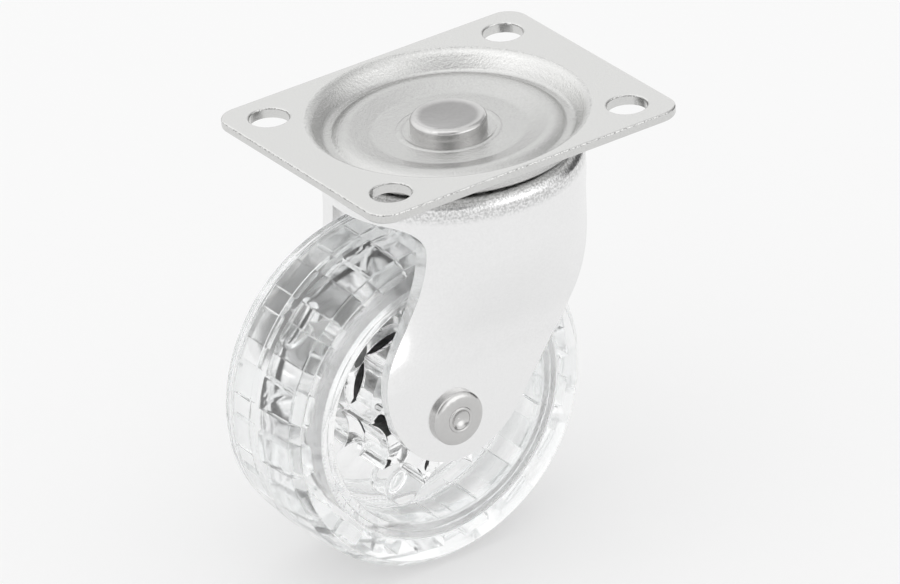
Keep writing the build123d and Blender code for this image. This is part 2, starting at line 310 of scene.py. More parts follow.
@dataclass(frozen=True)
class Surface:
    """A steel material's node tree, with the nodes that its masks read."""

    tree: TREE
    place: NODE
    speckle: NODE

    def height(self) -> SOCKET:
        """Reads how high a point lies.

        Returns:
            The point's z, in metres.
        """
        where = add_node(self.tree, "ShaderNodeSeparateXYZ")
        link(self.place.outputs["Object"], where.inputs[0])
        return where.outputs["Z"]

    def reach(self) -> SOCKET:
        """Measures how far a point lies from the swivel axis.

        Returns:
            The distance, in metres.
        """
        flat = add_node(self.tree, "ShaderNodeVectorMath", operation="MULTIPLY")
        link(self.place.outputs["Object"], flat.inputs[0])
        flat.inputs[1].default_value = (1.0, 1.0, 0.0)
        reach = add_node(self.tree, "ShaderNodeVectorMath", operation="LENGTH")
        link(flat.outputs[0], reach.inputs[0])
        return reach.outputs["Value"]

    def bend(self, inner: float, outer: float, heights: tuple[float, float]) -> SOCKET:
        """Masks a ring round the swivel axis, above a height.

        Args:
            inner: the ring's inner radius, in metres.
            outer: its outer radius, in metres.
            heights: where the ring starts and is full, going up, in metres.

        Returns:
            One inside the ring, zero outside it, with soft borders.
        """
        reach = self.reach()
        inside = soft_step(reach, inner - RING_FADE, inner)
        outside = soft_step(reach, outer + RING_FADE, outer)
        ring = math_node("MULTIPLY", inside, outside)
        return math_node("MULTIPLY", ring, soft_step(self.height(), *heights))

    def darken(self, color: SOCKET, mask: SOCKET, to: float) -> SOCKET:
        """Darkens a colour where a mask is one.

        Args:
            color: the colour.
            mask: where it gets darker.
            to: the share of the colour that is left there.

        Returns:
            The darkened colour.
        """
        mix = add_node(self.tree, "ShaderNodeMix", data_type="RGBA", clamp_factor=True)
        mix.blend_type = "MULTIPLY"
        link(mask, mix.inputs["Factor"])
        link(color, mix.inputs["A"])
        fill(mix, {"B": grey(to)})
        return mix.outputs["Result"]


@dataclass(frozen=True)
class SteelFinish:
    """A zinc plated or plain steel surface, with lengths in metres.

    painted_shade_middle is a radius round the swivel axis and the share of colour left inside it,
    as painted shade in the dished middle.
    stretched and painted_shade_ring are rings round that axis: the first has a stronger grain,
    and the second is painted shade, darker where the speckle is dark. Their heights say where
    they start and are full, going up.
    sheared darkens a broken line on the sheet's edge, inside sheared_band.
    """

    name: str
    color: tuple[float, float, float]
    roughness: float
    grain: Grain
    scale: float = 2600.0
    bump: float = 0.02 * MM
    spread: float = 0.12
    dent: float = 0.0
    # painted shade in the dished middle: its radius and the share of colour left there
    painted_shade_middle: tuple[float, float] | None = None
    stretched: tuple[float, float] | None = None
    stretched_heights: tuple[float, float] = (-14.0 * MM, -9.0 * MM)
    stretched_bump: float = 0.0
    sheared: float = 0.0
    sheared_band: tuple[float, ...] = (-0.45 * MM, -0.28 * MM, -0.16 * MM, -0.06 * MM)
    sheared_breaks: tuple[float, float] = (0.62, 0.25)
    # painted shade: a darker ring round the swivel axis, broken by the speckle
    painted_shade_ring: tuple[float, float, float] | None = None
    painted_shade_ring_heights: tuple[float, float] = (-13.0 * MM, -10.8 * MM)

    def build(self, effects: Effects) -> MATERIAL:
        """Makes the material.

        Args:
            effects: the shared node groups.

        Returns:
            The finished material.
        """
        material, tree, shader = new_material(self.name, {"Metallic": 1.0})
        place = add_node(tree, "ShaderNodeTexCoord")
        speckle = add_node(tree, "ShaderNodeGroup", node_tree=effects.speckle)
        fill(speckle, {"Scale": self.scale})
        link(place.outputs["Object"], speckle.inputs["Vector"])
        surface = Surface(tree, place, speckle)
        shown = max(self.grain.value, LEAST_GRAIN)
        rough = scaled(speckle.outputs["Mask"], self.spread * shown, self.roughness)
        link(rough, shader.inputs["Roughness"])
        link(self.colored(surface, shown), shader.inputs["Base Color"])
        link(self.bumped(surface), shader.inputs["Normal"])
        return material

    def colored(self, on: Surface, shown: float) -> SOCKET:
        """Mixes the metal's colour with its speckle, painted shade in its dished middle and on a
        ring, and dark edges.

        Args:
            on: the surface.
            shown: how strongly the speckle shows.

        Returns:
            The colour.
        """
        tone = add_node(on.tree, "ShaderNodeMix", data_type="RGBA", clamp_factor=True)
        dark = tuple(part * (1.0 - TONE_DEPTH * shown) for part in self.color)
        fill(tone, {"A": (*dark, 1.0), "B": (*self.color, 1.0)})
        link(on.speckle.outputs["Mask"], tone.inputs["Factor"])
        color = tone.outputs["Result"]
        # painted shade: darkens the dished middle round the swivel axis
        if self.painted_shade_middle:
            radius, left = self.painted_shade_middle
            middle = soft_step(on.reach(), radius, radius - RING_FADE)
            color = on.darken(color, middle, left)
        # painted shade on a ring round the swivel axis, darker where the speckle is dark
        if self.painted_shade_ring:
            inner, outer, left = self.painted_shade_ring
            bend = on.bend(inner, outer, self.painted_shade_ring_heights)
            painted_shade_spots = soft_step(on.speckle.outputs["Mask"], 1.0, 0.0)
            color = on.darken(color, math_node("MULTIPLY", bend, painted_shade_spots), left)
        if self.sheared:
            color = on.darken(color, self.sheared_edge(on), 1.0 - self.sheared)
        return color

    def sheared_edge(self, on: Surface) -> SOCKET:
        """Masks a broken line along the sheet's upper outline.

        Args:
            on: the surface.

        Returns:
            One on the line, zero elsewhere.
        """
        start, full, last_full, end = self.sheared_band
        height = on.height()
        above = soft_step(height, start, full)
        below = soft_step(height, end, last_full)
        line = math_node("MULTIPLY", above, below)
        ring = on.bend(*self.stretched, self.stretched_heights)
        flat = math_node("SUBTRACT", 1.0, ring)
        broken = soft_step(on.speckle.outputs["Mask"], *self.sheared_breaks)
        return math_node("MULTIPLY", math_node("MULTIPLY", line, flat), broken)

    def bumped(self, on: Surface) -> SOCKET:
        """Turns the speckle and the dents into a normal.

        Args:
            on: the surface.

        Returns:
            The normal.
        """
        bump = add_node(on.tree, "ShaderNodeBump")
        fill(
            bump,
            {
                "Strength": min(1.0, BUMP_FLOOR + self.grain.value),
                "Distance": max(self.bump, self.stretched_bump),
            },
        )
        height = on.speckle.outputs["Height"]
        if self.stretched:
            share = self.bump / self.stretched_bump
            ring = on.bend(*self.stretched, self.stretched_heights)
            level = scaled(ring, 1 - share, share)
            height = math_node("MULTIPLY", height, level)
        link(height, bump.inputs["Height"])
        if self.dent:
            coarse = add_node(on.tree, "ShaderNodeTexNoise", noise_dimensions="3D")
            fill(coarse, {"Scale": self.scale * DENT_SCALE_SHARE, "Detail": DENT_DETAIL})
            link(on.place.outputs["Object"], coarse.inputs["Vector"])
            dented = add_node(on.tree, "ShaderNodeBump")
            fill(dented, {"Distance": self.dent})
            link(coarse.outputs["Fac"], dented.inputs["Height"])
            link(dented.outputs["Normal"], bump.inputs["Normal"])
        return bump.outputs["Normal"]


@dataclass(frozen=True)
class ClearFinish:
    """Clear moulded plastic, with faint waviness from its mould.

    clear is the share of light that passes instead of scattering, and light_through
    the share that passes on into its shadow. wave is the waviness's height in metres.
    """

    name: str
    color: tuple[float, float, float]
    ior: float
    clear: float = 0.84
    light_through: float = 0.75
    roughness: float = 0.02
    wave: float = 0.10 * MM
    wave_strength: float = 0.5
    wave_tone: float = 0.997
    wave_rough: float = 0.01

    def build(self, effects: Effects) -> MATERIAL:
        """Makes the material.

        Args:
            effects: the shared node groups.

        Returns:
            The finished material.
        """
        material, tree, shader = new_material(
            self.name, {"Metallic": 0.0, "Transmission Weight": self.clear, "IOR": self.ior}
        )
        place = add_node(tree, "ShaderNodeTexCoord")
        group = add_node(tree, "ShaderNodeGroup", node_tree=effects.wave)
        link(place.outputs["Object"], group.inputs["Vector"])
        wave = group.outputs["Wave"]
        tone = add_node(tree, "ShaderNodeMix", data_type="RGBA", clamp_factor=True)
        fill(
            tone,
            {
                "A": (*(part * self.wave_tone for part in self.color), 1.0),
                "B": (*self.color, 1.0),
            },
        )
        link(wave, tone.inputs["Factor"])
        link(tone.outputs["Result"], shader.inputs["Base Color"])
        rough = scaled(wave, self.wave_rough, self.roughness)
        link(rough, shader.inputs["Roughness"])
        bump = add_node(tree, "ShaderNodeBump")
        fill(bump, {"Strength": self.wave_strength, "Distance": self.wave})
        link(wave, bump.inputs["Height"])
        link(bump.outputs["Normal"], shader.inputs["Normal"])
        path = add_node(tree, "ShaderNodeLightPath")
        pale = math_node("MULTIPLY", path.outputs["Is Shadow Ray"], self.light_through)
        solid = math_node("SUBTRACT", 1.0, pale)
        link(solid, shader.inputs["Alpha"])
        return material


def link_object(name: str, mesh: MESH) -> OBJECT:
    """Puts a mesh into the scene as an object at the origin."""
    piece = bpy.data.objects.new(name, mesh)
    bpy.context.scene.collection.objects.link(piece)
    return piece


def finish_mesh(mesh: MESH, sharp_angle: float) -> None:
    """Turns a mesh's faces outwards and shades it smooth up to an angle.

    Args:
        mesh: the mesh to finish.
        sharp_angle: edges that bend by more than this, in degrees, stay sharp.
    """
    shape = bmesh.new()
    shape.from_mesh(mesh)
    bmesh.ops.remove_doubles(shape, verts=shape.verts, dist=MERGE_DISTANCE)
    bmesh.ops.recalc_face_normals(shape, faces=shape.faces)
    shape.to_mesh(mesh)
    shape.free()
    for face in mesh.polygons:
        face.use_smooth = True
    mesh.set_sharp_from_angle(angle=math.radians(sharp_angle))


def turned_mesh(
    name: str, axis: tuple[float, float], sections: list[tuple[float, OUTLINE]]
) -> MESH:
    """Joins radial sections round an axle into one closed ring.

    Args:
        name: the mesh's name.
        axis: the axle's x and z, in millimetres.
        sections: each section's angle in degrees, with its (radius, y) points in millimetres.

    Returns:
        The mesh, in metres.
    """
    count = len(sections)
    size = len(sections[0][1])
    points = []
    for angle, section in sections:
        turn = math.radians(angle)
        for radius, across in section:
            x = axis[0] + radius * math.cos(turn)
            z = axis[1] + radius * math.sin(turn)
            points.append((x * MM, across * MM, z * MM))
    faces = []
    for index in range(count):
        after = (index + 1) % count
        for step in range(size):
            ahead = (step + 1) % size
            here, there = index * size, after * size
            faces.append((here + step, here + ahead, there + ahead, there + step))
    mesh = bpy.data.meshes.new(name)
    mesh.from_pydata(points, [], faces)
    return mesh


def rounded(corners: OUTLINE, rounds: list[float], steps: int = 5) -> OUTLINE:
    """Rounds the corners of a closed outline.

    Args:
        corners: the outline's corners in order.
        rounds: one rounding radius for each corner, zero to leave it sharp.
        steps: the number of short runs in each rounding.

    Returns:
        The rounded outline.
    """
    outline = []
    for index, corner in enumerate(corners):
        radius = rounds[index]
        here = Vector(corner)
        if radius <= 0:
            outline.append(corner)
            continue
        back = (Vector(corners[index - 1]) - here).normalized()
        ahead = (Vector(corners[(index + 1) % len(corners)]) - here).normalized()
        half = back.angle(ahead) / 2
        reach = radius / math.tan(half)
        centre = here + (back + ahead).normalized() * (radius / math.sin(half))
        start = here + back * reach - centre
        end = here + ahead * reach - centre
        sweep = start.angle_signed(end)
        for step in range(steps + 1):
            spoke = start.copy()
            spoke.rotate(Matrix.Rotation(-sweep * step / steps, 2))
            outline.append(tuple(centre + spoke))
    return outline


class CopyShape(Enum):
    """The small shapes that a ring of copies repeats."""

    BEAD = "bead"
    BAR = "bar"


@dataclass(frozen=True)
class RingOfCopies:
    """Small equal shapes spaced evenly in a ring round the wheel's axle.

    Sizes are in millimetres, and turn is the first shape's angle in degrees.
    """

    count: int
    radius: float
    turn: float
    bead_radius: float
    bead_segments: int = 8
    bead_rings: int = 5
    bar_round: float = 0.5
    bar_round_steps: int = 3

    def make_tree(self, shape: CopyShape) -> TREE:
        """Builds the Geometry Nodes tree that places the copies.

        Args:
            shape: the shape that is repeated.

        Returns:
            The tree, with named inputs for its sizes in metres.
        """
        tree = bpy.data.node_groups.new(f"ring_of_{shape.value}s", "GeometryNodeTree")
        sizes = ("Ring Radius", "Size", "Width", "Start", "Length", "Turn")
        kinds = {"Geometry": "Geometry", "Count": "Int"} | dict.fromkeys(sizes, "Float")
        kinds |= {"Axle": "Vector", "Material": "Material"}
        add_sockets(tree, "INPUT", {name: f"NodeSocket{kind}" for name, kind in kinds.items()})
        add_sockets(tree, "OUTPUT", {"Geometry": "NodeSocketGeometry"})
        enter = add_node(tree, "NodeGroupInput")
        leave = add_node(tree, "NodeGroupOutput")
        ring = add_node(tree, "GeometryNodeMeshCircle")
        link(enter.outputs["Count"], ring.inputs["Vertices"])
        link(enter.outputs["Ring Radius"], ring.inputs["Radius"])
        place = add_node(tree, "GeometryNodeInputPosition")
        align = add_node(tree, "FunctionNodeAlignRotationToVector", axis="X", pivot_axis="Z")
        link(place.outputs[0], align.inputs["Vector"])
        copies = add_node(tree, "GeometryNodeInstanceOnPoints")
        link(ring.outputs["Mesh"], copies.inputs["Points"])
        link(align.outputs[0], copies.inputs["Rotation"])
        make = self.add_bead if shape is CopyShape.BEAD else self.add_bar
        link(make(tree, enter), copies.inputs["Instance"])
        spin = add_node(tree, "ShaderNodeCombineXYZ")
        link(enter.outputs["Turn"], spin.inputs["Z"])
        turned = add_node(tree, "GeometryNodeTransform")
        link(copies.outputs[0], turned.inputs["Geometry"])
        link(spin.outputs[0], turned.inputs["Rotation"])
        upright = add_node(tree, "GeometryNodeTransform")
        fill(upright, {"Rotation": (math.radians(90.0), 0.0, 0.0)})
        link(turned.outputs[0], upright.inputs["Geometry"])
        link(enter.outputs["Axle"], upright.inputs["Translation"])
        real = add_node(tree, "GeometryNodeRealizeInstances")
        link(upright.outputs[0], real.inputs[0])
        dressed = add_node(tree, "GeometryNodeSetMaterial")
        link(real.outputs[0], dressed.inputs["Geometry"])
        link(enter.outputs["Material"], dressed.inputs["Material"])
        link(dressed.outputs[0], leave.inputs[0])
        return tree

    def add_bead(self, tree: TREE, enter: NODE) -> SOCKET:
        """Adds a small round bead of few faces.

        Args:
            tree: the node tree that gets the bead.
            enter: the tree's Group Input node.

        Returns:
            The bead's mesh.
        """
        bead = add_node(tree, "GeometryNodeMeshUVSphere")
        fill(bead, {"Segments": self.bead_segments, "Rings": self.bead_rings})
        link(enter.outputs["Size"], bead.inputs["Radius"])
        return bead.outputs["Mesh"]

    def add_bar(self, tree: TREE, enter: NODE) -> SOCKET:
        """Adds a bar along the axle with a rounded rectangular section.

        Args:
            tree: the node tree that gets the bar.
            enter: the tree's Group Input node.

        Returns:
            The bar's mesh.
        """
        section = add_node(tree, "GeometryNodeCurvePrimitiveQuadrilateral")
        link(enter.outputs["Size"], section.inputs["Width"])
        link(enter.outputs["Width"], section.inputs["Height"])
        soft = add_node(tree, "GeometryNodeFilletCurve", mode="POLY")
        fill(soft, {"Count": self.bar_round_steps, "Radius": self.bar_round * MM})
        link(section.outputs[0], soft.inputs["Curve"])
        start = add_node(tree, "ShaderNodeCombineXYZ")
        link(enter.outputs["Start"], start.inputs["Z"])
        end = add_node(tree, "ShaderNodeCombineXYZ")
        reach = math_node("ADD", enter.outputs["Start"], enter.outputs["Length"])
        link(reach, end.inputs["Z"])
        line = add_node(tree, "GeometryNodeCurvePrimitiveLine")
        link(start.outputs[0], line.inputs["Start"])
        link(end.outputs[0], line.inputs["End"])
        bar = add_node(tree, "GeometryNodeCurveToMesh")
        fill(bar, {"Fill Caps": True})
        link(line.outputs[0], bar.inputs["Curve"])
        link(soft.outputs[0], bar.inputs["Profile Curve"])
        return bar.outputs["Mesh"]

    def build(
        self, shape: CopyShape, material: MATERIAL, sizes: list[dict[str, float]]
    ) -> MESH:
        """Makes one plain mesh of all the rings.

        Args:
            shape: the shape that is repeated.
            material: the copies' material.
            sizes: for each ring, the tree's inputs that differ, in metres.

        Returns:
            The joined mesh.
        """
        tree = self.make_tree(shape)
        joined = bmesh.new()
        for ring in sizes:
            holder = link_object("ring_holder", bpy.data.meshes.new("ring_holder"))
            nodes = holder.modifiers.new("ring", "NODES")
            nodes.node_group = tree
            values = {
                "Count": self.count,
                "Ring Radius": self.radius * MM,
                "Turn": math.radians(self.turn),
                "Material": material,
                **ring,
            }
            for item in tree.interface.items_tree:
                if item.in_out == "INPUT" and item.name in values:
                    nodes[item.identifier] = values[item.name]
            view = bpy.context.evaluated_depsgraph_get()
            mesh = bpy.data.meshes.new_from_object(holder.evaluated_get(view))
            holder.modifiers.clear()
            bpy.data.objects.remove(holder)
            joined.from_mesh(mesh)
            bpy.data.meshes.remove(mesh)
        whole = bpy.data.meshes.new(f"ring_of_{shape.value}s")
        joined.to_mesh(whole)
        joined.free()
        whole.materials.append(material)
        finish_mesh(whole, 30)
        return whole


@dataclass
class Wheel:
    """The clear wheel, with its sizes in millimetres and its angles in degrees.

    It has a fluted core with domed bosses, a tyre with a grooved tread, fine beads on
    the rim and faint lugs inside the tyre.
    """

    axis: tuple[float, float] = (-16.5, -59.7)
    tread_radius: float = 38.085
    tread_edge_radius: float = 37.4
    tread_half: float = 12.1
    tread_steps: int = 12
    side_radius: float = 35.6
    tyre_half: float = 14.3
    tyre_steps: int = 288
    seat: float = 30.38
    seat_round: float = 0.25
    side_round: float = 0.5
    shoulder_round: float = 0.9
    parting_step: int = 5
    parting_width: float = 0.30
    parting_depth: float = 0.12
    core_radius: float = 30.4
    core_half: float = 14.0
    rim_inner: float = 26.8
    rim_round: float = 0.5
    rim_line_radius: float = 28.7
    rim_line_half: float = 0.18
    rim_outer_round: float = 0.3
    recess_round: float = 0.8
    web_half: float = 4.5
    web_round: float = 0.6
    hub_half: float = 13.6
    hub_round: float = 0.45
    bearing_radius: float = 11.02
    bearing_inside: float = 6.6
    bearing_round: float = 0.2
    shoulder_radius: float = 9.2
    corner_steps: int = 3
    flutes: int = 9
    flute_radius: float = 8.0
    flute_ring: float = 22.2
    flute_turn: float = 34.0
    flute_steps: int = 24
    boss_count: int = 3
    boss_radius: float = 4.5
    boss_ring: float = 21.9
    boss_turn: float = 257.0
    boss_wall: float = 0.7
    boss_rise: float = 1.7
    boss_dome_steps: int = 8
    boss_steps: int = 48
    tyre_sharp: float = 40.0
    core_sharp: float = 34.0
    beads: RingOfCopies = RingOfCopies(180, 30.0, 0.0, 0.22)
    bead_across: tuple[float, ...] = (-13.95, 13.95)
    lugs: RingOfCopies = RingOfCopies(18, 33.2, 4.0, 0.0)
    lug_size: tuple[float, float] = (3.2, 7.0)
    lug_spans: tuple[tuple[float, float], ...] = ((-9.8, 0.6), (3.6, 10.4))

    def tyre_section(self) -> OUTLINE:
        """Draws the tyre's section, with a crowned and grooved tread.

        Returns:
            The section's (radius, y) points.
        """
        tread = []
        for step in range(self.tread_steps + 1):
            across = self.tread_half * (1 - 2 * step / self.tread_steps)
            drop = self.tread_radius - self.tread_edge_radius
            reach = self.tread_radius - drop * (across / self.tread_half) ** 2
            if step == self.parting_step:
                half = self.parting_width / 2
                bottom = (reach - self.parting_depth, across)
                tread += [(reach, across + half), bottom, (reach, across - half)]
            else:
                tread.append((reach, across))
        corners = [
            (self.seat, -self.tyre_half),
            (self.seat, self.tyre_half),
            (self.side_radius, self.tyre_half),
            *tread,
            (self.side_radius, -self.tyre_half),
        ]
        inner = [self.seat_round, self.seat_round, self.side_round, self.shoulder_round]
        outer = [self.shoulder_round, self.side_round]
        plain = [0.0] * (len(corners) - len(inner) - len(outer))
        return rounded(corners, inner + plain + outer)

    def build_tyre(self) -> OBJECT:
        """Makes the tyre as one closed ring.

        Returns:
            The tyre.
        """
        section = self.tyre_section()
        sections = [(360 * step / self.tyre_steps, section) for step in range(self.tyre_steps)]
        mesh = turned_mesh("clear_tyre", self.axis, sections)
        finish_mesh(mesh, self.tyre_sharp)
        return link_object("clear_tyre", mesh)

    def hub_reach(self, angle: float) -> float:
        """Measures the hub's radius where flutes are cut into its side.

        Args:
            angle: the angle round the axle, in degrees.

        Returns:
            The radius at that angle.
        """
        pitch = 360 / self.flutes
        off = (angle - self.flute_turn + pitch / 2) % pitch - pitch / 2
        across = self.flute_ring * math.sin(math.radians(off))
        along = self.flute_ring * math.cos(math.radians(off))
        return along - math.sqrt(self.flute_radius**2 - across**2)

    def core_section(self, angle: float) -> OUTLINE:
        """Draws the core's section at one angle.

        Args:
            angle: the angle round the axle, in degrees.

        Returns:
            The section's (radius, y) points.
        """
        reach = self.hub_reach(angle)
        line_inner = self.rim_line_radius - self.rim_line_half
        line_outer = self.rim_line_radius + self.rim_line_half
        near = [
            ((self.shoulder_radius, -self.bearing_inside), 0.0),
            ((self.bearing_radius, -self.bearing_inside), 0.0),
            ((self.bearing_radius, -self.hub_half), self.bearing_round),
            ((reach, -self.hub_half), self.hub_round),
            ((reach, -self.web_half), self.web_round),
            ((self.rim_inner, -self.web_half), self.recess_round),
            ((self.rim_inner, -self.core_half), self.rim_round),
            ((line_inner, -self.core_half), 0.0),
            ((self.rim_line_radius, -self.core_half + self.rim_line_half), 0.0),
            ((line_outer, -self.core_half), 0.0),
            ((self.core_radius, -self.core_half), self.rim_outer_round),
        ]
        far = [((radius, -across), fillet) for (radius, across), fillet in reversed(near)]
        whole = near + far
        corners = [corner for corner, _ in whole]
        return rounded(corners, [fillet for _, fillet in whole], self.corner_steps)

    def build_core(self) -> OBJECT:
        """Makes the fluted core, with its domed bosses joined on.

        Returns:
            The core.
        """
        count = self.flutes * self.flute_steps
        first = self.flute_turn - 180 / self.flutes
        angles = [first + 360 * step / count for step in range(count)]
        sections = [(angle, self.core_section(angle)) for angle in angles]
        mesh = turned_mesh("clear_core", self.axis, sections)
        finish_mesh(mesh, self.core_sharp)
        core = link_object("clear_core", mesh)
        bosses = link_object("bosses", self.boss_mesh())
        union = core.modifiers.new("bosses", "BOOLEAN")
        union.operation = "UNION"
        union.solver = "EXACT"
        union.object = bosses
        view = bpy.context.evaluated_depsgraph_get()
        joined = bpy.data.meshes.new_from_object(core.evaluated_get(view))
        core.modifiers.clear()
        core.data = joined
        bpy.data.objects.remove(bosses)
        finish_mesh(joined, self.core_sharp)
        return core

    def boss_profile(self) -> OUTLINE:
        """Draws half a boss's outline, from one domed top to the other.

        Returns:
            The (radius, y) points.
        """
        dome = self.boss_rise - self.boss_wall
        half = [(0.0, self.web_half + self.boss_rise)]
        for step in range(1, self.boss_dome_steps + 1):
            lean = math.radians(90 * step / self.boss_dome_steps)
            across = self.web_half + self.boss_wall + dome * math.cos(lean)
            half.append((self.boss_radius * math.sin(lean), across))
        return half + [(radius, -across) for radius, across in reversed(half)]

    def boss_mesh(self) -> MESH:
        """Makes round bosses with domed tops on both faces of the web.

        Returns:
            One mesh of all the bosses.
        """
        shape = bmesh.new()
        for index in range(self.boss_count):
            turn = math.radians(self.boss_turn + 360 * index / self.boss_count)
            x = (self.axis[0] + self.boss_ring * math.cos(turn)) * MM
            z = (self.axis[1] + self.boss_ring * math.sin(turn)) * MM
            spun = [
                shape.verts.new((x + radius * MM, across * MM, z))
                for radius, across in self.boss_profile()
            ]
            edges = [shape.edges.new(pair) for pair in zip(spun, spun[1:])]
            bmesh.ops.spin(
                shape,
                geom=spun + edges,
                cent=(x, 0, z),
                axis=(0, 1, 0),
                angle=math.tau,
                steps=self.boss_steps,
                use_merge=True,
            )
        bmesh.ops.remove_doubles(shape, verts=shape.verts, dist=MERGE_DISTANCE)
        bmesh.ops.recalc_face_normals(shape, faces=shape.faces)
        mesh = bpy.data.meshes.new("bosses")
        shape.to_mesh(mesh)
        shape.free()
        return mesh

    def build_rings(self, materials: dict[str, MATERIAL]) -> None:
        """Makes the beads on the rim and the lugs inside the tyre.

        Args:
            materials: the finishes by their names.
        """
        x, z = self.axis[0] * MM, self.axis[1] * MM
        bead_size = self.beads.bead_radius * MM
        beads = self.beads.build(
            CopyShape.BEAD,
            materials["core_clear"],
            [{"Size": bead_size, "Axle": (x, across * MM, z)} for across in self.bead_across],
        )
        lugs = self.lugs.build(
            CopyShape.BAR,
            materials["lug_clear"],
            [
                {
                    "Size": self.lug_size[0] * MM,
                    "Width": self.lug_size[1] * MM,
                    "Start": -end * MM,
                    "Length": (end - start) * MM,
                    "Axle": (x, 0.0, z),
                }
                for start, end in self.lug_spans
            ],
        )
        for name, mesh in (("rim_beads", beads), ("tyre_lugs", lugs)):
            piece = link_object(name, mesh)
            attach(piece, Body.WHEEL.value)
            log.info("built %s with %d faces", name, len(mesh.polygons))

    def build(self, materials: dict[str, MATERIAL]) -> None:
        """Makes the wheel's clear pieces and lets them stand for the CAD nodes.

        Args:
            materials: the finishes by their names.
        """
        for piece, node, slot in (
            (self.build_tyre(), "wheel_tyre", "tyre_clear"),
            (self.build_core(), "wheel_core", "core_clear"),
        ):
            piece.data.materials.clear()
            piece.data.materials.append(materials[slot])
            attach(piece, Body.WHEEL.value)
            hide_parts(node)
            log.info("built %s with %d faces", piece.name, len(piece.data.polygons))
        self.build_rings(materials)


@dataclass
class CoinedRing:
    """The low ring pressed into the dish's floor round the kingpin, in millimetres."""

    radius: float = 10.7
    half_width: float = 0.75
    floor: float = -4.1
    rise: float = 0.16
    steps: int = 120
    rise_steps: int = 8
    sharp: float = 40.0

    def build(self, material: MATERIAL) -> None:
        """Makes the ring and lets it ride on the plate.

        Args:
            material: the plate's finish.
        """
        section = [
            (self.radius - self.half_width, self.floor),
            (self.radius + self.half_width, self.floor),
        ]
        for step in range(1, self.rise_steps):
            turn = math.pi * step / self.rise_steps
            reach = self.radius + self.half_width * math.cos(turn)
            section.append((reach, self.floor + self.rise * math.sin(turn) ** 2))
        sections = [(360 * step / self.steps, section) for step in range(self.steps)]
        mesh = turned_mesh("coined_ring", (0.0, 0.0), sections)
        mesh.transform(Matrix.Rotation(math.radians(90.0), 4, "X"))
        finish_mesh(mesh, self.sharp)
        mesh.materials.append(material)
        ring = link_object("coined_ring", mesh)
        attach(ring, Body.PLATE.value)
        log.info("built coined_ring with %d faces", len(mesh.polygons))


@dataclass(frozen=True)
class Lobe:
    """A soft patch of the surroundings, lighter or darker than the rest.

    All angles are in degrees: it is full up to inner from its middle, and ends at outer.
    """

    azimuth: float
    elevation: float
    inner: float
    outer: float
    amount: float

    def toward(self) -> Vector:
        """Points at the middle of the patch.

        Returns:
            The direction, with a length of one.
        """
        turn = math.radians(self.azimuth)
        rise = math.radians(self.elevation)
        flat = math.cos(rise)
        return Vector((flat * math.cos(turn), flat * math.sin(turn), math.sin(rise)))


@dataclass(frozen=True)
class Card:
    """A dark card that stands on the floor, turned towards the caster.

    turn is its direction round the swivel axis in degrees, and lengths are in metres.
    """

    turn: float
    away: float
    half: float
    height: float
    lift: float = 1.0 * MM
    tone: float = 0.10
    roughness: float = 0.9


